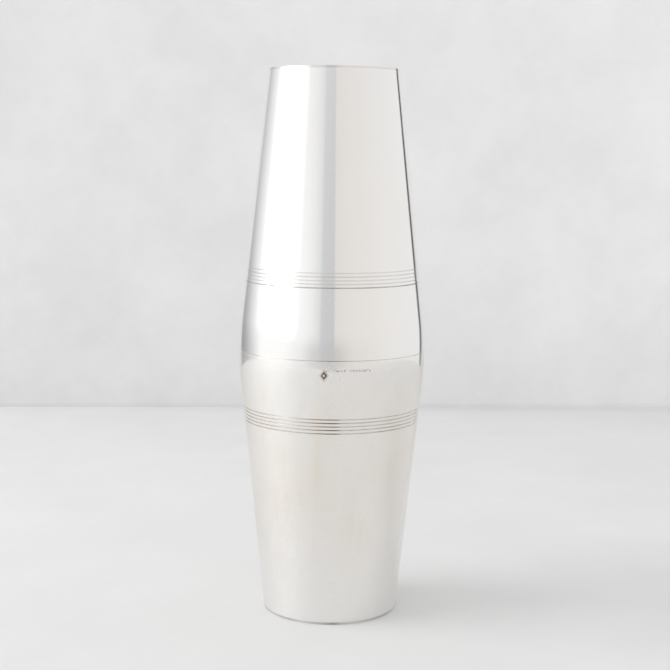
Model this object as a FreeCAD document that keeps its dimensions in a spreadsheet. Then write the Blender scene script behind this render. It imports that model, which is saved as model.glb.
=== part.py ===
import FreeCAD, Part
import math
import os
import Sketcher

# Two-piece cocktail shaker in silver-plated brass: a lower cup and an upper cup stand mouth to
# mouth and meet in a flush seam at the widest place.  Both cups are straight cones that bend to
# upright in a short barrel curve below the mouth, and each has a band of turned ring lines.
# A collar, soldered inside the upper cup, plugs into the lower cup's mouth and seals it.
#
# Frame: origin at the centre of the foot, +Z up the shaker's axis.  Lengths in mm, angles in
# degrees.  Each cup is drawn in its own frame, mouth at height 0 and base below it, and its
# Placement then stands it upright (lower cup) or turns it over (upper cup) at the seam.

DIMENSIONS = [
    ("lower_height", 134.0, "lower cup, foot to seam"),
    ("upper_height", 139.0, "upper cup, seam to top"),
    ("mouth_radius", 47.0, "outside radius at the seam"),
    ("lower_taper", 5.92, "angle between the lower cup's cone and the axis"),
    ("upper_taper", 6.4, "angle between the upper cup's cone and the axis"),
    ("barrel", 16.0, "height of the barrel curve beside each mouth"),
    ("wall", 0.9, "sheet thickness of both cups"),
    ("rim_chamfer", 0.2, "bevel on the outside of each rim"),
    ("lower_band", 28.7, "seam to the first ring line, lower cup"),
    ("upper_band", 34.5, "seam to the first ring line, upper cup"),
    ("ring_pitch", 1.74, "from one ring line to the next"),
    ("ring_cutter", 0.3, "radius of the tool that cuts a ring line"),
    ("ring_depth", 0.18, "depth of a ring line"),
    ("plate", 1.2, "thickness of each base plate"),
    ("plate_round", 0.2, "rounding of the plate's outer corner"),
    ("press_height", 0.5, "how far the plate's middle is pressed in"),
    ("press_radius", 25.0, "radius of the pressed middle"),
    ("press_slope", 1.5, "width of the slope round the pressed middle"),
    ("base_fillet", 1.4, "leg of the solder fillet between wall and plate"),
    ("collar", 0.8, "sheet thickness of the collar"),
    ("collar_seat", 10.0, "length of collar soldered inside the upper cup"),
    ("collar_plug", 13.0, "length of collar that enters the lower cup"),
    ("collar_gap", 0.1, "radial clearance of the plug"),
    ("collar_step", 0.4, "seam up to the step where the plug's clearance starts"),
    ("collar_lead", 0.35, "bevel on the plug's leading edge"),
    ("collar_fillet", 0.8, "leg of the solder fillet above the collar"),
    ("solder_toe", 0.12, "thickness of a solder fillet at its thin edges"),
]
RING_COUNT = 5

doc = FreeCAD.newDocument("cocktail_shaker")
sheet = doc.addObject("Spreadsheet::Sheet", "dims")
for row, (alias, value, meaning) in enumerate(DIMENSIONS, start=1):
    sheet.set(f"A{row}", alias)
    sheet.set(f"B{row}", str(value))
    sheet.setAlias(f"B{row}", alias)
    sheet.set(f"C{row}", meaning)
doc.recompute()


class Outline:
    """One cup's outline as formulas of the sheet's cells; a depth is measured from the mouth."""

    def __init__(self, name):
        self.height = f"dims.{name}_height"
        self.band = f"dims.{name}_band"
        self.taper = f"dims.{name}_taper"
        self.turned = name == "upper"
        self.barrel = f"dims.barrel / sin({self.taper})"
        self.barrel_inside = f"({self.barrel} - dims.wall)"

    def cone(self, depth):
        """Outside radius of the cone."""
        drop = f"dims.barrel * tan({self.taper} / 2)"
        return f"(dims.mouth_radius - {drop} - ({depth} - dims.barrel) * tan({self.taper}))"

    def bore(self, depth):
        """Inside radius of the cone."""
        return f"({self.cone(depth)} - dims.wall / cos({self.taper}))"

    def mouth_bore(self, depth, gap="0"):
        """Inside radius of the barrel curve, less a gap."""
        curve = f"({self.barrel_inside} - {gap})"
        return f"(dims.mouth_radius - {self.barrel} + sqrt({curve} ^ 2 - ({depth}) ^ 2))"


LOWER = Outline("lower")
UPPER = Outline("upper")


def value_of(formula):
    """The number a formula gives now."""
    return float(sheet.evalExpression(formula))


def plane(body, role):
    """One of a body's own origin planes."""
    return next(item for item in body.Origin.OriginFeatures if item.Role == role)


def new_body(label, turned):
    """A body whose local mouth plane stands at the seam, upright or turned over."""
    body = doc.addObject("PartDesign::Body", label)
    body.Label = label
    turn = FreeCAD.Rotation(FreeCAD.Vector(1, 0, 0), 180 if turned else 0)
    body.Placement = FreeCAD.Placement(FreeCAD.Vector(0, 0, sheet.lower_height), turn)
    body.setExpression("Placement.Base.z", "dims.lower_height")
    return body


def new_sketch(body, name):
    """An empty sketch on the body's XZ plane: sketch x is the radius, sketch y the height."""
    sketch = body.newObject("Sketcher::SketchObject", name)
    sketch.AttachmentSupport = [(plane(body, "XZ_Plane"), "")]
    sketch.MapMode = "FlatFace"
    return sketch


def pin(sketch, element, point, formulas):
    """Hold a sketch point at a radius and a height, both formulas."""
    for kind, formula in zip(("DistanceX", "DistanceY"), formulas):
        constraint = Sketcher.Constraint(kind, -1, 1, element, point, value_of(formula))
        index = sketch.addConstraint(constraint)
        sketch.setExpression(f"Constraints[{index}]", formula)


def arc_between(start, end, radius):
    """Arc from start to end; the centre is left of the way there, or right if radius < 0."""
    chord = end - start
    left = FreeCAD.Vector(-chord.y, chord.x, 0).normalize()
    reach = math.sqrt(radius ** 2 - (chord.Length / 2) ** 2)
    centre = (start + end) / 2 + left * math.copysign(reach, radius)
    first, last = (start, end) if radius > 0 else (end, start)
    angles = [math.atan2(p.y - centre.y, p.x - centre.x) for p in (first, last)]
    circle = Part.Circle(centre, FreeCAD.Vector(0, 0, 1), abs(radius))
    return Part.ArcOfCircle(circle, angles[0], angles[1])


def half_section(body, name, corners, arcs=None):
    """Closed sketch through the corners; arcs maps a corner's index to (radius, side)."""
    arcs = arcs or {}
    sketch = new_sketch(body, name)
    points = [FreeCAD.Vector(value_of(r), value_of(z), 0) for r, z in corners]
    starts, ends = [], []
    for index, start in enumerate(points):
        end = points[(index + 1) % len(points)]
        side = 1
        if index in arcs:
            formula, side = arcs[index]
            element = sketch.addGeometry(arc_between(start, end, side * value_of(formula)))
            radius = sketch.addConstraint(Sketcher.Constraint("Radius", element, value_of(formula)))
            sketch.setExpression(f"Constraints[{radius}]", formula)
        else:
            element = sketch.addGeometry(Part.LineSegment(start, end))
        starts.append((element, 1 if side > 0 else 2))
        ends.append((element, 2 if side > 0 else 1))
    for index, (element, point) in enumerate(starts):
        sketch.addConstraint(Sketcher.Constraint("Coincident", *ends[index - 1], element, point))
        pin(sketch, element, point, corners[index])
    return sketch


def revolve(body, name, sketch, kind="PartDesign::Revolution"):
    """A full turn of the sketch round the body's axis, adding or (Groove) cutting."""
    feature = body.newObject(kind, name)
    feature.Profile = sketch
    feature.ReferenceAxis = (sketch, ["V_Axis"])
    feature.Angle = 360
    doc.recompute()
    return feature


def dress(body, name, kind, radius, height, size_property, size):
    """Fillet or chamfer the circular edge that has this radius and height."""
    base = body.Tip
    for index, edge in enumerate(base.Shape.Edges, start=1):
        circle = edge.Curve
        if not isinstance(circle, Part.Circle):
            continue
        if abs(circle.Radius - radius) < 0.01 and abs(circle.Center.z - height) < 0.01:
            feature = body.newObject(kind, name)
            feature.Base = (base, [f"Edge{index}"])
            feature.setExpression(size_property, size)
            doc.recompute()
            return feature
    raise RuntimeError(f"{body.Label}: no edge for {name}")


def cut_check(body, before, what):
    """Stop if a cutting feature took nothing away."""
    if body.Shape.Volume >= before - 1e-3:
        raise RuntimeError(f"{body.Label}: {what} cut nothing")


def cup_wall(label, cup):
    """Tapered tube of sheet, barrel-curved at the mouth, with a bevelled rim and ring lines."""
    body = new_body(label, cup.turned)
    bottom = f"({cup.height} - dims.plate)"
    corners = [
        (cup.cone(bottom), f"-{bottom}"),
        (cup.cone("dims.barrel"), "-dims.barrel"),
        ("dims.mouth_radius", "0"),
        ("dims.mouth_radius - dims.wall", "0"),
        (f"{cup.cone('dims.barrel')} - dims.wall * cos({cup.taper})",
         f"-dims.barrel + dims.wall * sin({cup.taper})"),
        (cup.bore(bottom), f"-{bottom}"),
    ]
    arcs = {1: (cup.barrel, 1), 3: (cup.barrel_inside, -1)}
    revolve(body, f"{label}_sheet", half_section(body, f"{label}_section", corners, arcs))

    rings = new_sketch(body, f"{label}_ring_lines")
    standoff = "(dims.ring_cutter - dims.ring_depth)"
    for ring in range(RING_COUNT):
        depth = f"({cup.band} + {ring} * dims.ring_pitch)"
        centre = (f"{cup.cone(depth)} + {standoff} * cos({cup.taper})",
                  f"-{depth} - {standoff} * sin({cup.taper})")
        middle = FreeCAD.Vector(value_of(centre[0]), value_of(centre[1]), 0)
        axis = FreeCAD.Vector(0, 0, 1)
        element = rings.addGeometry(Part.Circle(middle, axis, sheet.ring_cutter))
        radius = rings.addConstraint(Sketcher.Constraint("Radius", element, sheet.ring_cutter))
        rings.setExpression(f"Constraints[{radius}]", "dims.ring_cutter")
        pin(rings, element, 3, centre)
    before = body.Shape.Volume
    revolve(body, f"{label}_rings", rings, "PartDesign::Groove")
    cut_check(body, before, "the ring lines")

    before = body.Shape.Volume
    dress(body, f"{label}_rim", "PartDesign::Chamfer", sheet.mouth_radius, 0.0,
          "Size", "dims.rim_chamfer")
    cut_check(body, before, "the rim bevel")
    return body


def base_plate(label, cup):
    """Disc that closes the cup's narrow end, with its middle pressed in and its corner rounded."""
    body = new_body(label, cup.turned)
    face = f"-{cup.height}"
    top = f"({face} + dims.plate)"
    slope_end = "dims.press_radius + dims.press_slope"
    corners = [
        ("0", f"{face} + dims.press_height"),
        ("dims.press_radius", f"{face} + dims.press_height"),
        (slope_end, face),
        (cup.cone(cup.height), face),
        (cup.cone(f"({cup.height} - dims.plate)"), top),
        (slope_end, top),
        ("dims.press_radius", f"{top} + dims.press_height"),
        ("0", f"{top} + dims.press_height"),
    ]
    revolve(body, f"{label}_disc", half_section(body, f"{label}_section", corners))
    before = body.Shape.Volume
    dress(body, f"{label}_corner", "PartDesign::Fillet", value_of(cup.cone(cup.height)),
          value_of(face), "Radius", "dims.plate_round")
    cut_check(body, before, "the rounded corner")
    return body


def solder_ring(label, cup, corner, wall_radius, leg, way, arcs):
    """Ring of solder in an inside corner, from which the wall leads away (+ or -)."""
    body = new_body(label, cup.turned)
    radius, height = corner
    wall_height = f"{height} {way} {leg}"
    corners = [
        corner,
        (wall_radius, wall_height),
        (f"{wall_radius} - dims.solder_toe", wall_height),
        (f"{radius} - {leg}", f"{height} {way} dims.solder_toe"),
        (f"{radius} - {leg}", height),
    ]
    revolve(body, f"{label}_ring", half_section(body, f"{label}_section", corners, arcs))
    return body


def base_solder(label, cup):
    """The hollow-faced solder between a cup's wall and its base plate."""
    foot = f"({cup.height} - dims.plate)"
    corner = (cup.bore(foot), f"-{foot}")
    wall_radius = cup.bore(f"({foot} - dims.base_fillet)")
    hollow = {2: ("dims.base_fillet - dims.solder_toe", -1)}
    return solder_ring(label, cup, corner, wall_radius, "dims.base_fillet", "+", hollow)


def joint_collar(label):
    """Short sleeve that fits both barrel curves: a soldered half and a plug-in half."""
    body = new_body(label, UPPER.turned)
    lead = "(dims.collar_plug - dims.collar_lead)"
    seat = "dims.collar_seat"
    step = "dims.collar_step"
    corners = [
        (UPPER.mouth_bore(seat), f"-{seat}"),
        (UPPER.mouth_bore(step), f"-{step}"),
        (UPPER.mouth_bore(step, "dims.collar_gap"), f"-{step}"),
        ("dims.mouth_radius - dims.wall - dims.collar_gap", "0"),
        (LOWER.mouth_bore(lead, "dims.collar_gap"), lead),
        (f"{LOWER.mouth_bore('dims.collar_plug', 'dims.collar_gap')} - dims.collar_lead",
         "dims.collar_plug"),
        (LOWER.mouth_bore("dims.collar_plug", "dims.collar"), "dims.collar_plug"),
        ("dims.mouth_radius - dims.wall - dims.collar", "0"),
        (UPPER.mouth_bore(seat, "dims.collar"), f"-{seat}"),
    ]
    arcs = {
        0: (UPPER.barrel_inside, 1),
        2: (f"{UPPER.barrel_inside} - dims.collar_gap", 1),
        3: (f"{LOWER.barrel_inside} - dims.collar_gap", 1),
        6: (f"{LOWER.barrel_inside} - dims.collar", -1),
        7: (f"{UPPER.barrel_inside} - dims.collar", -1),
    }
    revolve(body, f"{label}_sleeve", half_section(body, f"{label}_section", corners, arcs))
    return body


def collar_solder(label):
    """The flat-faced solder between the collar's hidden end and the upper cup's wall."""
    corner = (UPPER.mouth_bore("dims.collar_seat"), "-dims.collar_seat")
    wall_radius = UPPER.mouth_bore("dims.collar_seat + dims.collar_fillet")
    return solder_ring(label, UPPER, corner, wall_radius, "dims.collar_fillet", "-", {})


parts = [
    cup_wall("lower_cup_wall", LOWER),
    base_plate("lower_base_plate", LOWER),
    base_solder("lower_base_solder", LOWER),
    cup_wall("upper_cup_wall", UPPER),
    base_plate("upper_base_plate", UPPER),
    base_solder("upper_base_solder", UPPER),
    joint_collar("joint_collar"),
    collar_solder("collar_solder"),
]
doc.recompute()

for item in doc.Objects:
    if "Invalid" in item.State or "Error" in item.State:
        raise RuntimeError(f"{item.Name} failed: {item.State}")
    if item.isDerivedFrom("Sketcher::SketchObject") and not item.FullyConstrained:
        raise RuntimeError(f"{item.Name} is not fully constrained")
for body in parts:
    if body.Shape.isNull() or not body.Shape.isValid() or len(body.Shape.Solids) != 1:
        raise RuntimeError(f"{body.Label} is not one valid solid")

os.makedirs("parts", exist_ok=True)
for body in parts:
    body.Shape.exportStep(f"parts/{body.Label}.step")
    box = body.Shape.optimalBoundingBox(False)
    print(f"{body.Label:18s} {body.Shape.Volume / 1000:7.2f} cm3   z {box.ZMin:.2f} to {box.ZMax:.2f}"
          f"   radius {box.XMax:.2f}")
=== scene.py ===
import math

import bmesh
import bpy
from mathutils import Matrix, Vector


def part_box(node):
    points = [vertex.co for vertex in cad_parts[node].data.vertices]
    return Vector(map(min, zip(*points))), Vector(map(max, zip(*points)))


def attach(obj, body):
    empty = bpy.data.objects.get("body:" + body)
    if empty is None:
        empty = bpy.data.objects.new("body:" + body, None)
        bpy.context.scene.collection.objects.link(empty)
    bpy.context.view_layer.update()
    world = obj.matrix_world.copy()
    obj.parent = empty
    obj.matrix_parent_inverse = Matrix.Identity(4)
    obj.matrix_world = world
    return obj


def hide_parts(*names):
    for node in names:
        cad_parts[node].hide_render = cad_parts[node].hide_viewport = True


# Silver-plated cocktail shaker: two tapered cups mouth to mouth, joined by a plug-in collar.
# Every CAD node is replaced by a finely turned mesh of the same section, because polished plate
# mirrors its surroundings and would show the facets of a coarser mesh.  Lengths in metres.

MM = 0.001

# Sheet metal and details, the same sizes as the design's.
WALL = 0.9 * MM
BARREL = 16.0 * MM
RIM_BEVEL = 0.2 * MM
RING_PITCH = 1.74 * MM
RING_CUTTER = 0.3 * MM
RING_DEPTH = 0.18 * MM
LOWER_BAND = 28.7 * MM
UPPER_BAND = 34.5 * MM
# How dark each ring line has tarnished, from the mouth towards the base.
LOWER_LINES = (0.52, 0.62, 0.54, 0.63, 0.64)
UPPER_LINES = (0.66, 0.25, 0.20, 0.26, 0.19)
PLATE = 1.2 * MM
PLATE_ROUND = 0.2 * MM
PRESS_RADIUS = 25.0 * MM
PRESS_SLOPE = 1.5 * MM
PRESS_HEIGHT = 0.5 * MM
COLLAR = 0.8 * MM
COLLAR_GAP = 0.1 * MM
COLLAR_STEP = 0.4 * MM
COLLAR_LEAD = 0.35 * MM
BASE_FILLET = 1.4 * MM
COLLAR_FILLET = 0.8 * MM
SOLDER_TOE = 0.12 * MM
SOLDER_WOBBLE = 0.06 * MM

# A plain lozenge punch on the lower cup: where its middle is, and its size.
PUNCH_DEPTH = 6.9 * MM
PUNCH_AZIMUTH = math.radians(-94.6)
PUNCH_HALF_WIDTH = 2.3 * MM
PUNCH_HALF_HEIGHT = 3.1 * MM
# Its share of the half size, and its height above the cup's wall in millimetres.
PUNCH_PROFILE = [(0, 0.12), (0.18, 0.10), (0.32, 0.02), (0.58, 0.01), (0.72, 0.12), (0.86, 0.12),
                 (1.0, -0.02)]
# Lower than this, in millimetres, the punch has gathered tarnish.
PUNCH_LOW = 0.05
PUNCH_CORNERS = 48

# Tarnish and satin, each from 0 to 1, that the meshes carry for the materials.
RIM_TARNISH = 0.3
RIM_SATIN = 0.5
SOLDER_TARNISH = 0.2
PLUG_SATIN = 0.6
PUNCH_TARNISH = 0.75
PUNCH_BURR_TARNISH = 0.12

TURNS = 384
CREASE = math.radians(30)

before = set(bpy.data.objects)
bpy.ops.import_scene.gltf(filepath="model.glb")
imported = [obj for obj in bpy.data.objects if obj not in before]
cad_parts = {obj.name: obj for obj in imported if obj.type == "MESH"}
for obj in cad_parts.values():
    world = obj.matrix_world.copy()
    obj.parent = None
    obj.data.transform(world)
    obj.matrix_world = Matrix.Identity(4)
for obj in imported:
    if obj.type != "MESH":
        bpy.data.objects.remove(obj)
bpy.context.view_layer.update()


# ---- outline of the cups -------------------------------------------------------------------

class Cup:
    """Outline of one cup; a depth is measured from the mouth towards the base."""

    def __init__(self, name, band, lines, edge_dark):
        low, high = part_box(f"{name}_cup_wall")
        self.name = name
        self.band = band
        self.lines = lines
        self.edge_dark = edge_dark
        self.turned = name == "upper"
        self.seam = low.z if self.turned else high.z
        self.wall_end = high.z - low.z
        self.height = self.wall_end + PLATE
        self.mouth = high.x
        self.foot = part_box(f"{name}_base_plate")[1].x
        # A barrel arc that starts upright narrows half as fast as the cone that it runs into.
        self.slope = (self.mouth - self.foot) / (self.wall_end - BARREL / 2)
        self.taper = math.atan(self.slope)
        self.arc = BARREL / math.sin(self.taper)

    def outside(self, depth):
        """Outside radius of the wall."""
        if depth < BARREL:
            return self.mouth - self.arc + math.sqrt(self.arc ** 2 - depth ** 2)
        return self.foot + self.slope * (self.wall_end - depth)

    def inside(self, depth):
        """Inside radius of the wall."""
        inner_arc = self.arc - WALL
        if depth < inner_arc * math.sin(self.taper):
            return self.mouth - self.arc + math.sqrt(inner_arc ** 2 - depth ** 2)
        return self.foot + self.slope * (self.wall_end - depth) - WALL / math.cos(self.taper)

    def place(self, radius, depth):
        """A point of the section, as radius and height in the shaker's frame."""
        return radius, self.seam + depth if self.turned else self.seam - depth


LOWER = Cup("lower", LOWER_BAND, LOWER_LINES, edge_dark=0.35)
UPPER = Cup("upper", UPPER_BAND, UPPER_LINES, edge_dark=0.2)
BODY = {LOWER: "lower_cup", UPPER: "upper_cup"}


# ---- turned meshes -------------------------------------------------------------------------

def steps(first, last, count):
    """Evenly spaced numbers from first to last, both included."""
    return [first + (last - first) * i / count for i in range(count + 1)]


def lathe(name, section, closed=True, wobble=0.0):
    """Turn a section round the Z axis into a smooth mesh.

    A section point is (radius, height, tarnish, satin); the last two, from 0 to 1, are kept on
    the mesh for the materials.  Wobble is how unevenly a hand-laid ring runs, as a length.
    """
    bm = bmesh.new()
    tarnish_layer = bm.verts.layers.float.new("tarnish")
    satin_layer = bm.verts.layers.float.new("satin")
    rows = []
    for radius, height, tarnish, satin in section:
        row = []
        for turn in range(TURNS if radius > 1e-7 else 1):
            angle = 2 * math.pi * turn / TURNS
            uneven = 0.5 * math.sin(7 * angle + 1) + 0.3 * math.sin(19 * angle) - 0.8
            here = radius + wobble * uneven if wobble else radius
            vertex = bm.verts.new((here * math.cos(angle), here * math.sin(angle), height))
            vertex[tarnish_layer] = tarnish
            vertex[satin_layer] = satin
            row.append(vertex)
        rows.append(row)
    for first, second in zip(rows, rows[1:]):
        join_rows(bm, first, second)
    if closed:
        join_rows(bm, rows[-1], rows[0])
    piece = smooth_piece(name, bm)
    piece.data.set_sharp_from_angle(angle=CREASE)
    return piece


def join_rows(bm, first, second):
    """Faces between two rings of vertices, either of which may be one vertex in the middle."""
    count = max(len(first), len(second))
    for turn in range(count):
        after = (turn + 1) % count
        corners = [first[turn % len(first)], first[after % len(first)],
                   second[after % len(second)], second[turn % len(second)]]
        bm.faces.new(list(dict.fromkeys(corners)))


def smooth_piece(name, bm):
    """The finished bmesh as a smooth-shaded object in the scene."""
    bmesh.ops.recalc_face_normals(bm, faces=bm.faces)
    for face in bm.faces:
        face.smooth = True
    mesh = bpy.data.meshes.new(name)
    bm.to_mesh(mesh)
    bm.free()
    piece = bpy.data.objects.new(name, mesh)
    bpy.context.scene.collection.objects.link(piece)
    return piece


def ring_line(cup, index):
    """Section points of one ring line, a round-bottomed groove cut square to the cone."""
    tarnish = cup.lines[index]
    depth = cup.band + index * RING_PITCH
    standoff = RING_CUTTER - RING_DEPTH
    radius = cup.outside(depth) + standoff * math.cos(cup.taper)
    middle = depth + standoff * math.sin(cup.taper)
    half = math.acos(standoff / RING_CUTTER)
    points = []
    for share in steps(-1, 1, 12):
        angle = share * half - cup.taper
        dark = tarnish * (1 - share ** 4)
        points.append((radius - RING_CUTTER * math.cos(angle),
                       middle + RING_CUTTER * math.sin(angle), dark, 0))
    return points


def cup_wall(cup):
    """The cup's wall: barrel-curved at the mouth, conical below, with its ring lines."""
    shoulder = 0.05 * MM
    points = [(cup.mouth - WALL / 2, 0, RIM_TARNISH, RIM_SATIN),
              (cup.mouth - RIM_BEVEL, 0, RIM_TARNISH, 0),
              (cup.mouth, RIM_BEVEL, RIM_TARNISH, 0)]
    points += [(cup.outside(d), d, 0, 0) for d in steps(RIM_BEVEL + shoulder, BARREL, 24)]
    points += [(cup.outside(d), d, 0, 0) for d in steps(BARREL, cup.band - 2 * RING_CUTTER, 8)[1:]]
    for index in range(len(cup.lines)):
        line = ring_line(cup, index)
        before = line[0][1] - shoulder
        after = line[-1][1] + shoulder
        points += [(cup.outside(before), before, 0, 0), *line, (cup.outside(after), after, 0, 0)]
    points += [(cup.outside(d), d, 0, 0) for d in steps(points[-1][1], cup.wall_end, 48)[1:]]
    points += [(cup.inside(d), d, 0, 1) for d in steps(cup.wall_end, BARREL, 24)]
    points += [(cup.inside(d), d, 0, 1) for d in steps(BARREL, 0, 16)[1:]]
    section = [(*cup.place(radius, depth), dark, satin) for radius, depth, dark, satin in points]
    wall = lathe(f"{cup.name}_cup_shell", section)
    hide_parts(f"{cup.name}_cup_wall")
    return wall


def base_plate(cup):
    """The disc that closes the narrow end: its middle pressed in, its corner rounded."""
    shoulder = 0.04 * MM
    face = cup.height
    slope_end = PRESS_RADIUS + PRESS_SLOPE
    turn = math.pi / 2 - cup.taper
    corner = cup.foot - cup.slope * PLATE - PLATE_ROUND * math.tan(turn / 2)
    points = [(radius, face - PRESS_HEIGHT) for radius in steps(0, PRESS_RADIUS, 12)]
    for share in steps(0, 1, 8)[1:]:
        ease = share * share * (3 - 2 * share)
        points.append((PRESS_RADIUS + PRESS_SLOPE * share, face - PRESS_HEIGHT * (1 - ease)))
    points += [(radius, face) for radius in steps(slope_end, corner, 5)[1:]]
    for angle in steps(0, turn, 8)[1:]:
        points.append((corner + PLATE_ROUND * math.sin(angle),
                       face - PLATE_ROUND * (1 - math.cos(angle))))
    points += [(cup.outside(d), d) for d in steps(points[-1][1] - shoulder, cup.wall_end, 4)]
    # The disc's rounded edge and the strip of wall beside it are darker.
    edge_dark = [cup.edge_dark if depth < face and radius > corner else 0
                 for radius, depth in points]
    outside = [(*cup.place(*point), dark, 0) for point, dark in zip(points, edge_dark)]
    back = [(slope_end, cup.wall_end), (PRESS_RADIUS, cup.wall_end - PRESS_HEIGHT),
            (0, cup.wall_end - PRESS_HEIGHT)]
    inside = [(*cup.place(*point), 0, 1) for point in back]
    plate = lathe(f"{cup.name}_base_disc", outside + inside, closed=False)
    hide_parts(f"{cup.name}_base_plate")
    return plate


def solder_ring(name, node, corner, wall_point, leg, way):
    """Hollow-faced ring of solder in an inside corner; way is +1 if the wall leads up from it."""
    radius, height = corner
    wall_radius, wall_height = wall_point
    start = Vector((wall_radius - SOLDER_TOE, wall_height))
    end = Vector((radius - leg, height + way * SOLDER_TOE))
    hollow = (start - end).length * 0.2
    diagonal = 0.7
    points = [corner, wall_point]
    for share in steps(0, 1, 8):
        sag = hollow * (1 - (2 * share - 1) ** 2) * diagonal
        middle = start.lerp(end, share)
        points.append((middle.x + sag, middle.y - way * sag))
    points.append((radius - leg, height))
    section = [(*point, SOLDER_TARNISH, 1) for point in points]
    ring = lathe(name, section, wobble=SOLDER_WOBBLE)
    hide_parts(node)
    return ring


def base_solder(cup):
    """Solder between a cup's wall and its base plate."""
    corner = cup.place(cup.inside(cup.wall_end), cup.wall_end)
    top = cup.wall_end - BASE_FILLET
    wall_point = cup.place(cup.inside(top), top)
    way = -1 if cup.turned else 1
    return solder_ring(f"{cup.name}_base_seam", f"{cup.name}_base_solder", corner, wall_point,
                       BASE_FILLET, way)


def collar_solder():
    """Solder between the collar's hidden end and the upper cup's wall."""
    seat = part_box("joint_collar")[1].z - UPPER.seam
    top = seat + COLLAR_FILLET
    return solder_ring("collar_seam", "collar_solder", UPPER.place(UPPER.inside(seat), seat),
                       UPPER.place(UPPER.inside(top), top), COLLAR_FILLET, 1)


def joint_collar():
    """Short sleeve: its upper half is soldered in the upper cup, its lower half plugs in."""
    low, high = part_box("joint_collar")
    seat = high.z - UPPER.seam
    plug = LOWER.seam - low.z
    lead = plug - COLLAR_LEAD
    outside = [UPPER.place(UPPER.inside(d), d) for d in steps(seat, COLLAR_STEP, 8)]
    outside += [UPPER.place(UPPER.inside(d) - COLLAR_GAP, d) for d in steps(COLLAR_STEP, 0, 1)]
    outside += [LOWER.place(LOWER.inside(d) - COLLAR_GAP, d) for d in steps(0, lead, 12)[1:]]
    outside.append(LOWER.place(LOWER.inside(plug) - COLLAR_GAP - COLLAR_LEAD, plug))
    inside = [LOWER.place(LOWER.inside(d) - COLLAR, d) for d in steps(plug, 0, 12)]
    inside += [UPPER.place(UPPER.inside(d) - COLLAR, d) for d in steps(0, seat, 8)[1:]]
    section = [(*point, 0, PLUG_SATIN) for point in outside]
    section += [(*point, 0, 1) for point in inside]
    sleeve = lathe("plug_collar", section)
    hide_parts("joint_collar")
    return sleeve


def punch_mark():
    """A plain lozenge struck below the lower cup's mouth, with a burr round it and a boss in it."""
    bm = bmesh.new()
    tarnish_layer = bm.verts.layers.float.new("tarnish")
    rows = []
    for share, proud in PUNCH_PROFILE:
        row = []
        for turn in range(PUNCH_CORNERS if share else 1):
            angle = 2 * math.pi * turn / PUNCH_CORNERS
            # A lozenge with slightly rounded corners.
            reach = share / (abs(math.cos(angle)) ** 1.2 + abs(math.sin(angle)) ** 1.2)
            below = PUNCH_DEPTH + PUNCH_HALF_HEIGHT * reach * math.sin(angle)
            radius = LOWER.outside(below) + proud * MM
            around = PUNCH_AZIMUTH + PUNCH_HALF_WIDTH * reach * math.cos(angle) / radius
            place = (radius * math.cos(around), radius * math.sin(around), LOWER.seam - below)
            vertex = bm.verts.new(place)
            vertex[tarnish_layer] = PUNCH_TARNISH if proud < PUNCH_LOW else PUNCH_BURR_TARNISH
            row.append(vertex)
        rows.append(row)
    for first, second in zip(rows, rows[1:]):
        join_rows(bm, first, second)
    return smooth_piece("plain_punch", bm)


# ---- materials -----------------------------------------------------------------------------

class Shader:
    """A material or world node tree with short ways to add and join nodes."""

    def __init__(self, tree):
        self.tree = tree

    def set(self, node, socket, value):
        """Give a node's socket a number, a colour or another node's output."""
        if isinstance(value, bpy.types.NodeSocket):
            self.tree.links.new(value, node.inputs[socket])
        else:
            node.inputs[socket].default_value = value

    def add(self, kind, operation=None, **inputs):
        """A new node; inputs are sockets by name, with _ for spaces."""
        node = self.tree.nodes.new(kind)
        if operation:
            node.operation = operation
        for name, value in inputs.items():
            self.set(node, name.replace("_", " "), value)
        return node

    def math(self, operation, *values):
        """One arithmetic step."""
        node = self.add("ShaderNodeMath", operation)
        for index, value in enumerate(values):
            self.set(node, index, value)
        return node.outputs[0]

    def product(self, *values):
        """All the values multiplied."""
        total = values[0]
        for value in values[1:]:
            total = self.math("MULTIPLY", total, value)
        return total

    def axes(self, vector):
        """The vector's X, Y and Z."""
        split = self.add("ShaderNodeSeparateXYZ", Vector=vector)
        return [split.outputs[axis] for axis in "XYZ"]

    def noise(self, vector, scale, detail=3.0, roughness=0.5):
        """Cloudy noise between 0 and 1."""
        return self.add("ShaderNodeTexNoise", Vector=vector, Scale=scale, Detail=detail,
                        Roughness=roughness).outputs["Fac"]

    def stretched(self, vector, *scale):
        """The vector with each axis scaled."""
        return self.add("ShaderNodeMapping", Vector=vector, Scale=scale).outputs["Vector"]

    def mix(self, share, first, second):
        """Mix of two colours."""
        node = self.add("ShaderNodeMix")
        node.data_type = "RGBA"
        colour_sockets = [s for s in node.inputs if s.type == "RGBA"]
        self.set(node, 0, share)
        for socket, value in zip(colour_sockets, (first, second)):
            if isinstance(value, bpy.types.NodeSocket):
                self.tree.links.new(value, socket)
            else:
                socket.default_value = value
        return next(s for s in node.outputs if s.type == "RGBA")

    def spread(self, value, low, high, to_low=0.0, to_high=1.0):
        """The value carried from one range to another, and kept inside it."""
        return self.add("ShaderNodeMapRange", Value=value, From_Min=low, From_Max=high,
                        To_Min=to_low, To_Max=to_high).outputs[0]

    def near(self, value, middle, clear, full):
        """From 0, at the clear distance from the middle or beyond, to 1 within the full one."""
        away = self.math("ABSOLUTE", self.math("SUBTRACT", value, middle))
        return self.spread(away, clear, full)

    def stored(self, name):
        """A number kept on the mesh."""
        node = self.add("ShaderNodeAttribute")
        node.attribute_name = name
        return node.outputs["Fac"]


def new_material(name):
    """A material with its shader helper and its Principled node."""
    material = bpy.data.materials.new(name)
    material.use_nodes = True
    return material, Shader(material.node_tree), material.node_tree.nodes["Principled BSDF"]


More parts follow.
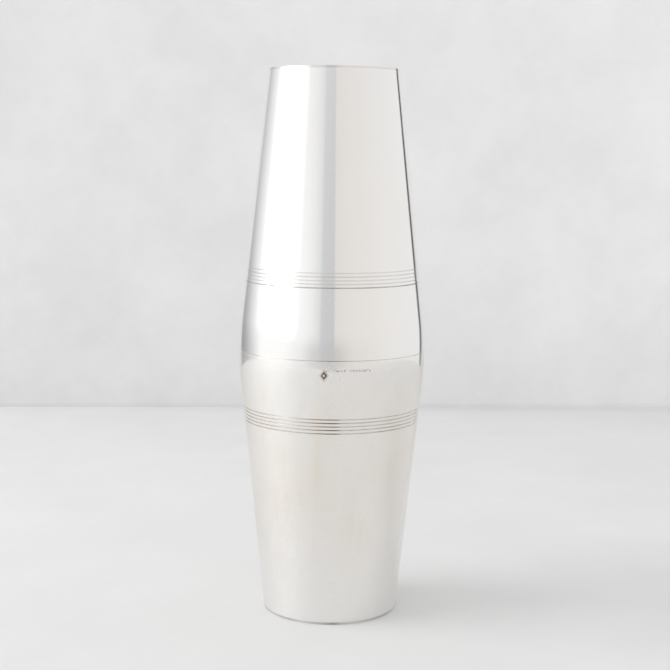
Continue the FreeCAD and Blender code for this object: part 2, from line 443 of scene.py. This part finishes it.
BRIGHT_SILVER = (0.945, 0.940, 0.935, 1.0)
WORN_SILVER = (0.920, 0.895, 0.862, 1.0)
WARM_FILM = (0.880, 0.820, 0.720, 1.0)
BROWN_TARNISH = (0.13, 0.075, 0.038, 1.0)
INNER_SILVER = (0.80, 0.79, 0.765, 1.0)

# Marks on the lower cup, by object coordinates; the front of the shaker is its -Y side.
# Brown scuffing below the mouth, which also paints the dark reflection of the table's shadowed
# front edge.
SCUFF_HEIGHT = 129.3 * MM
SCUFF_HALF_HEIGHT = 0.6 * MM
SCUFF_MIDDLE = 7.5 * MM
SCUFF_HALF_LENGTH = 11.0 * MM
# Where the painted dark reflection in the ring lines starts, is full, starts to fade and ends.
STRETCH_START = -13.5 * MM
STRETCH_FULL = 1.0 * MM
STRETCH_FADE = 2.4 * MM
STRETCH_END = 5.0 * MM
# Where the rubbed rim starts, and from where up it is fully rubbed.
RUBBED_FROM = 128.2 * MM
RUBBED_FULL = 131.0 * MM
# The middle of the yellow run, and how much of the warm film it adds.
DRIP_ACROSS = -6.6 * MM
DRIP_HEIGHT = 92.0 * MM
DRIP_WARMTH = 0.5
# How much cleaner the plate is at the mouth, and how much painted light lightens it at the foot.
CLEANER_MOUTH = 0.5
PAINTED_FOOT_LIGHT = 0.7


def scuff_and_edge_reflection(s, place):
    """Short brown scuffing along the lower cup's mouth, which also paints the dark reflection of
    the table's shadowed front edge, as a share from 0 to 1.
    """
    x, y, z = s.axes(place)
    height = s.math("COMPARE", z, SCUFF_HEIGHT, SCUFF_HALF_HEIGHT)
    length = s.math("COMPARE", x, SCUFF_MIDDLE, SCUFF_HALF_LENGTH)
    front = s.math("LESS_THAN", y, 0)
    specks = s.spread(s.noise(s.stretched(place, 900, 900, 3000), 1.0, 4.0), 0.50, 0.62)
    return s.product(height, length, front, specks)


def painted_dark_reflection(s, place):
    """The front of the ring lines, darkened as a painted reflection of the dark side of the room
    where the viewer stands, as a share from 0 to 1.
    """
    x, y, _ = s.axes(place)
    left_end = s.spread(x, STRETCH_START, STRETCH_FULL)
    right_end = s.spread(x, STRETCH_END, STRETCH_FADE)
    return s.product(s.math("LESS_THAN", y, 0), left_end, right_end)


def handled_rim(s, place):
    """The last few millimetres of the lower cup, rubbed bright by hands, as a share 0 to 1."""
    height = s.axes(place)[2]
    rubbed = s.spread(height, RUBBED_FROM, RUBBED_FULL)
    return s.product(rubbed, s.math("LESS_THAN", height, LOWER.seam))


def polish_drip(s, place):
    """Faint yellow run of old polish at the front of the lower cup, as a share from 0 to 1."""
    x, y, z = s.axes(place)
    across = s.near(x, DRIP_ACROSS, 4.2 * MM, 0.5 * MM)
    along = s.near(z, DRIP_HEIGHT, 28.0 * MM, 12.0 * MM)
    return s.product(s.math("LESS_THAN", y, 0), across, along)


def cleaned_and_painted_light(s, place):
    """How much cleaner the lower cup is towards its mouth, and lighter towards its foot by painted
    light, as a share from 0 to 1.
    """
    height = s.axes(place)[2]
    mouth = s.spread(height, 95.0 * MM, 130.0 * MM, 0.0, CLEANER_MOUTH)
    # Painted light: lighter towards the foot, standing in for the bright table that the foot
    # mirrors.
    foot = s.spread(height, 55.0 * MM, 5.0 * MM, 0.0, PAINTED_FOOT_LIGHT)
    lower_cup = s.math("LESS_THAN", height, LOWER.seam)
    return s.product(s.math("ADD", mouth, foot), lower_cup)


def plate_colour(s, place, plate, film, wear, satin, handled):
    """The silver's colour: warm film in clouds and drips, cleaner at the mouth, lighter at the foot
    by painted light, greyer inside.
    """
    clouds = s.spread(s.noise(place, 28.0, 4.0), 0.42, 0.72)
    drips = s.spread(s.noise(s.stretched(place, 150, 150, 14), 1.0, 3.0), 0.52, 0.74)
    unhandled = s.math("SUBTRACT", 1.0, handled)
    warmth = s.product(s.math("ADD", clouds, drips), film, unhandled)
    warmth = s.math("MULTIPLY_ADD", polish_drip(s, place), DRIP_WARMTH * wear, warmth)
    colour = s.mix(warmth, plate, WARM_FILM)
    colour = s.mix(cleaned_and_painted_light(s, place), colour, BRIGHT_SILVER)
    return s.mix(satin, colour, INNER_SILVER)


def tarnish_share(s, place, wear, in_groove):
    """Brown tarnish in the ring lines in patches, darker at their front by painted reflection, and
    in the scuffing, which also paints a dark reflection; a share from 0 to 1.
    """
    patches = s.spread(s.noise(place, 55.0, 3.0), 0.35, 0.62, 0.45, 1.0)
    # Tarnish patches in the grooves, darkened at the front by a painted dark reflection.
    patina_and_reflection = s.math("MULTIPLY_ADD", painted_dark_reflection(s, place), wear, patches)
    # Brown scuffing, partly a painted dark reflection of the table's shadowed edge.
    scuff_and_reflection = s.product(scuff_and_edge_reflection(s, place), wear)
    return s.math("MAXIMUM", s.product(in_groove, patina_and_reflection), scuff_and_reflection)


def plate_roughness(s, place, wear, satin, handled, in_groove, tarnish):
    """Polish crossed by fine scratches, fewer where it is handled or in a groove."""
    smudges = s.noise(place, 75.0, 5.0, 0.6)
    scratches = s.noise(s.stretched(place, 2500, 2500, 20000), 1.0, 1.0)
    scratched = s.math("MULTIPLY_ADD", smudges, 0.12, scratches)
    limit = 0.72 - 0.2 * wear
    scratched = s.spread(scratched, limit, limit + 0.05)
    less_handled = s.math("MULTIPLY_ADD", handled, -0.5, 1.0)
    less_in_groove = s.spread(in_groove, 0.0, 0.3, 1.0, 0.2)
    scratched = s.product(scratched, less_handled, less_in_groove)
    roughness = s.math("MULTIPLY_ADD", smudges, 0.05, 0.02)
    roughness = s.math("MULTIPLY_ADD", scratched, 0.50, roughness)
    roughness = s.math("MULTIPLY_ADD", satin, 0.22, roughness)
    return s.math("MULTIPLY_ADD", tarnish, 0.12, roughness)


def silver(name, plate, film, wear):
    """Silver plate: polished outside, satin inside, clouded by a warm film, brown in the lines.

    Film is how strong the warm film is.  Wear is how much of the polish is crossed by fine
    round-the-cup scratches, and how strongly the lower cup's marks show.
    """
    material, s, bsdf = new_material(name)
    place = s.add("ShaderNodeTexCoord").outputs["Object"]
    satin = s.stored("satin")
    in_groove = s.stored("tarnish")
    handled = handled_rim(s, place)
    tarnish = tarnish_share(s, place, wear, in_groove)
    colour = plate_colour(s, place, plate, film, wear, satin, handled)
    s.set(bsdf, "Base Color", s.mix(tarnish, colour, BROWN_TARNISH))
    s.set(bsdf, "Metallic", 1.0)
    s.set(bsdf, "Roughness",
          plate_roughness(s, place, wear, satin, handled, in_groove, tarnish))
    s.set(bsdf, "Anisotropic", 0.75)
    s.set(bsdf, "Anisotropic Rotation", 0.25)
    ripple = s.noise(place, 40.0, 1.0)
    bump = s.add("ShaderNodeBump", Strength=0.12, Distance=0.0003, Height=ripple)
    s.set(bsdf, "Normal", bump.outputs[0])
    return material


def solder():
    """Matt grey solder with a slightly grainy, uneven face."""
    material, s, bsdf = new_material("silver_solder")
    place = s.add("ShaderNodeTexCoord").outputs["Object"]
    grain = s.noise(place, 900.0, 4.0, 0.6)
    blotches = s.spread(s.noise(place, 160.0), 0.35, 0.65)
    s.set(bsdf, "Base Color", s.mix(blotches, (0.62, 0.61, 0.58, 1), (0.74, 0.73, 0.70, 1)))
    s.set(bsdf, "Metallic", 1.0)
    s.set(bsdf, "Roughness", s.spread(grain, 0.3, 0.7, 0.42, 0.6))
    bump = s.add("ShaderNodeBump", Strength=0.4, Distance=0.0001, Height=grain)
    s.set(bsdf, "Normal", bump.outputs[0])
    return material


# The paint's brightness, and how much darker the broad painted shade and the narrow painted shade
# make it at the joint.
PAINT_LEVEL = 0.803
JOINT_SHADE = 0.045
CREASE_SHADE = 0.04


def pale_board(name, lit, mottle, painted_right_light):
    """Matt painted board that darkens a little towards the joint of table and back board.

    Lit is (axis, coordinate at the joint, coordinate from which the paint is fully light,
    coordinate where the narrow painted shade at the joint ends); the darkening at the joint is
    painted shade.  Mottle is how far the paint's clouds go either way.  The paint is lightened
    towards the right by painted light, making up for the key light fading across the board; the
    last argument says by how much.  The board is clear from behind, where it would otherwise
    block a view.
    """
    material, s, bsdf = new_material(name)
    place = s.add("ShaderNodeTexCoord").outputs["Object"]
    coordinates = dict(zip("XYZ", s.axes(place)))
    axis, joint, clear_of_joint, crease_end = lit
    # Painted shade: the paint darkens towards the joint of table and board, broadly and in a narrow
    # band.
    shade = s.spread(coordinates[axis], joint, clear_of_joint, 1.0, 0.0)
    shade = s.math("MULTIPLY", s.math("POWER", shade, 2.0), JOINT_SHADE)
    painted_crease = s.spread(coordinates[axis], joint, crease_end, CREASE_SHADE, 0.0)
    shade = s.math("ADD", shade, painted_crease)
    clouds = s.spread(s.noise(place, 11.0, 7.0, 0.65), 0.35, 0.65, -mottle, mottle)
    # Painted light: the paint grows lighter to the right, making up for the key light fading across
    # the board.
    painted_light_gain = s.spread(coordinates["X"], -0.24, 0.3, 0.0, painted_right_light)
    level = s.math("SUBTRACT", s.math("ADD", clouds, painted_light_gain), shade)
    level = s.math("ADD", level, PAINT_LEVEL)
    s.set(bsdf, "Base Color", s.mix(level, (0, 0, 0, 1), (1, 1, 1, 1)))
    s.set(bsdf, "Roughness", 0.9)
    s.set(bsdf, "Specular IOR Level", 0.1)
    clear = s.add("ShaderNodeBsdfTransparent")
    back = s.add("ShaderNodeNewGeometry").outputs["Backfacing"]
    either = s.add("ShaderNodeMixShader", Fac=back)
    s.set(either, 1, bsdf.outputs[0])
    s.set(either, 2, clear.outputs[0])
    s.set(s.tree.nodes["Material Output"], "Surface", either.outputs[0])
    return material


# ---- stage, light, camera ------------------------------------------------------------------

CAMERA_DISTANCE = 0.692
CAMERA_HEIGHT = 0.232
CAMERA_LENS = 74.0
CAMERA_SENSOR = 36.0
CAMERA_PITCH = 7.538
CAMERA_YAW = 0.12
CAMERA_ROLL = 0.562
TABLE_FRONT = 0.67
TABLE_SIDE = 0.84
BOARD_BEHIND = 0.557
BOARD_HALF = 0.335
# How much nearer the board's left end stands than its middle, and the right end further.
BOARD_TURN = 0.0163
BOARD_HEIGHT = 0.62
# Where the painted shade of each darkens it towards their joint, as pale_board's lit.
TABLE_SHADE = ("Y", BOARD_BEHIND, 0.05, 0.537)
BOARD_SHADE = ("Z", 0.0, 0.2, 0.004)
# Brightness of the plain surroundings as seen directly, and as they light matt surfaces.
PAPER = 0.768
AMBIENT = 0.827
KEY_PLACE = (-2.30, -0.25, 0.95)
KEY_SIZE = 1.8
KEY_ENERGY = 34.0


def sheet(name, corners, material):
    """A flat staged sheet through its corners."""
    mesh = bpy.data.meshes.new(name)
    mesh.from_pydata(corners, [], [tuple(range(len(corners)))])
    mesh.materials.append(material)
    made = bpy.data.objects.new(name, mesh)
    bpy.context.scene.collection.objects.link(made)


def build_stage():
    """An oval pale table with a pale board standing on it, its left end a little nearer."""
    rim = steps(0, 2 * math.pi, 96)[:-1]
    sheet("table_top", [(TABLE_SIDE * math.cos(a), TABLE_FRONT * math.sin(a), 0) for a in rim],
          pale_board("table_paint", TABLE_SHADE, mottle=0.015, painted_right_light=0.0))
    left = (-BOARD_HALF, BOARD_BEHIND - BOARD_TURN)
    right = (BOARD_HALF, BOARD_BEHIND + BOARD_TURN)
    sheet("back_board", [(*left, 0), (*right, 0), (*right, BOARD_HEIGHT), (*left, BOARD_HEIGHT)],
          pale_board("board_paint", BOARD_SHADE, mottle=0.032, painted_right_light=0.092))


# What stands round the table, by azimuth from the viewer's side, + to the right, in degrees:
# (azimuth, brightness above the horizon, brightness below it, warmth).
ROOM = [
    (-180, 0.74, 0.70, 0.00),   # behind the board
    (-152, 0.60, 0.50, -0.04),
    (-144, 0.57, 0.34, -0.04),  # unlit corner on the left
    (-130, 0.74, 0.46, -0.03),
    (-112, 1.00, 0.74, 0.00),   # soft box
    (-98, 1.04, 1.04, 0.00),
    (-60, 1.04, 1.02, 0.00),
    (-37, 1.00, 0.88, 0.00),    # its curtain, fading towards the viewer
    (-25, 0.90, 0.69, 0.00),
    (-16, 0.76, 0.63, -0.02),
    (-13, 0.63, 0.58, -0.02),   # the viewer
    (2, 0.60, 0.55, -0.02),
    (3.5, 0.78, 0.60, 0.08),    # warm wall on the right
    (25, 0.82, 0.77, 0.08),
    (75, 0.86, 0.85, 0.04),
    (137, 0.88, 0.86, 0.01),
    (138.5, 0.08, 0.20, 0.00),  # gap beside the board
    (144.5, 0.08, 0.20, 0.00),
    (146.5, 0.74, 0.70, 0.00),
]
# Heights are the Z of a direction.  The room's two rows of brightness meet at the horizon, and
# it evens out overhead.
HORIZON_LOW = -0.12
HORIZON_HIGH = 0.07
OVERHEAD_LOW = 0.10
OVERHEAD_HIGH = 0.60
OVERHEAD = 0.80
SOFT_BOX_GLOW = 2.35
SOFT_BOX_MIDDLE = math.radians(-78)
SOFT_BOX_EDGE = math.radians(38)
SOFT_BOX_FULL = math.radians(12)


def room_ramp(s, azimuth_share, brightness_index):
    """The room's colours at one height, as a ramp round the table."""
    ramp = s.add("ShaderNodeValToRGB", Fac=azimuth_share)
    stops = ramp.color_ramp.elements
    stops.remove(stops[1])
    for row in ROOM:
        azimuth, bright, warmth = row[0], row[brightness_index], row[3]
        place = (azimuth + 180) / 360
        stop = stops[0] if row is ROOM[0] else stops.new(place)
        stop.position = place
        stop.color = (bright, bright * (1 - 0.5 * warmth), bright * (1 - warmth), 1)
    return ramp.outputs["Color"]


def soft_box(s, azimuth, height):
    """The lit soft box on the left, as a share from 0 to 1 of its brightness."""
    across = s.near(azimuth, SOFT_BOX_MIDDLE, SOFT_BOX_EDGE, SOFT_BOX_FULL)
    across = s.math("POWER", across, 1.6)
    above = s.spread(height, -0.04, 0.08)
    below = s.spread(height, 0.72, 0.60)
    return s.product(across, above, below)


def grey(level):
    """An even colour of one brightness."""
    return level, level, level, 1


def build_world():
    """Plain pale surroundings, and the studio that the polished silver mirrors."""
    world = bpy.data.worlds.new("studio")
    world.use_nodes = True
    bpy.context.scene.world = world
    s = Shader(world.node_tree)
    s.tree.nodes.clear()
    direction = s.add("ShaderNodeTexCoord").outputs["Generated"]
    x, y, height = s.axes(direction)
    azimuth = s.math("ARCTAN2", x, s.math("MULTIPLY", y, -1))
    share = s.spread(azimuth, -math.pi, math.pi)
    up = s.add("ShaderNodeMapRange", Value=height, From_Min=HORIZON_LOW, From_Max=HORIZON_HIGH)
    up.interpolation_type = "SMOOTHSTEP"
    room = s.mix(up.outputs[0], room_ramp(s, share, 2), room_ramp(s, share, 1))
    room = s.mix(s.spread(height, OVERHEAD_LOW, OVERHEAD_HIGH), room, grey(OVERHEAD))
    room = s.mix(soft_box(s, azimuth, height), room, grey(SOFT_BOX_GLOW))
    mirrored = s.add("ShaderNodeBackground", Color=room)
    plain = s.add("ShaderNodeBackground", Color=grey(PAPER))
    ambient = s.add("ShaderNodeBackground", Color=grey(AMBIENT))
    ray = s.add("ShaderNodeLightPath")
    seen = s.add("ShaderNodeMixShader", Fac=ray.outputs["Is Camera Ray"])
    s.set(seen, 1, ambient.outputs[0])
    s.set(seen, 2, plain.outputs[0])
    either = s.add("ShaderNodeMixShader", Fac=ray.outputs["Is Glossy Ray"])
    s.set(either, 1, seen.outputs[0])
    s.set(either, 2, mirrored.outputs[0])
    s.add("ShaderNodeOutputWorld", Surface=either.outputs[0])


def build_key_light():
    """Large soft box on the left, low enough to lay a long soft shadow to the right."""
    lamp = bpy.data.lights.new("soft_key", "AREA")
    lamp.size = KEY_SIZE
    lamp.energy = KEY_ENERGY
    key = bpy.data.objects.new("soft_key", lamp)
    key.location = KEY_PLACE
    key.rotation_euler = (-key.location).to_track_quat("-Z", "Y").to_euler()
    key.visible_glossy = False
    key.visible_camera = False
    bpy.context.scene.collection.objects.link(key)


def build_camera():
    """The viewing angle: level with the upper cup, looking slightly down."""
    lens = bpy.data.cameras.new("viewer")
    lens.lens = CAMERA_LENS
    lens.sensor_width = CAMERA_SENSOR
    viewer = bpy.data.objects.new("viewer", lens)
    turn = Matrix.Rotation(math.radians(-CAMERA_YAW), 4, "Z")
    tilt = Matrix.Rotation(math.radians(90 - CAMERA_PITCH), 4, "X")
    roll = Matrix.Rotation(math.radians(CAMERA_ROLL), 4, "Z")
    place = Matrix.Translation((0, -CAMERA_DISTANCE, CAMERA_HEIGHT))
    viewer.matrix_world = place @ turn @ tilt @ roll
    bpy.context.scene.collection.objects.link(viewer)
    bpy.context.scene.camera = viewer


# ---- the shaker ----------------------------------------------------------------------------

def finish_piece(piece, body, material):
    """Give a piece its material and its body."""
    piece.data.materials.append(material)
    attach(piece, body)


def build_shaker():
    """Both cups, each with its base, and the collar that joins them."""
    solder_material = solder()
    plates = {LOWER: silver("worn_silver", WORN_SILVER, film=0.36, wear=0.8),
              UPPER: silver("bright_silver", BRIGHT_SILVER, film=0.06, wear=0.15)}
    for cup, plate in plates.items():
        finish_piece(cup_wall(cup), BODY[cup], plate)
        finish_piece(base_plate(cup), BODY[cup], plate)
        finish_piece(base_solder(cup), BODY[cup], solder_material)
    finish_piece(punch_mark(), BODY[LOWER], plates[LOWER])
    finish_piece(joint_collar(), BODY[UPPER], plates[UPPER])
    finish_piece(collar_solder(), BODY[UPPER], solder_material)


bpy.context.scene.view_settings.view_transform = "Standard"
build_camera()
build_stage()
build_world()
build_key_light()
build_shaker()
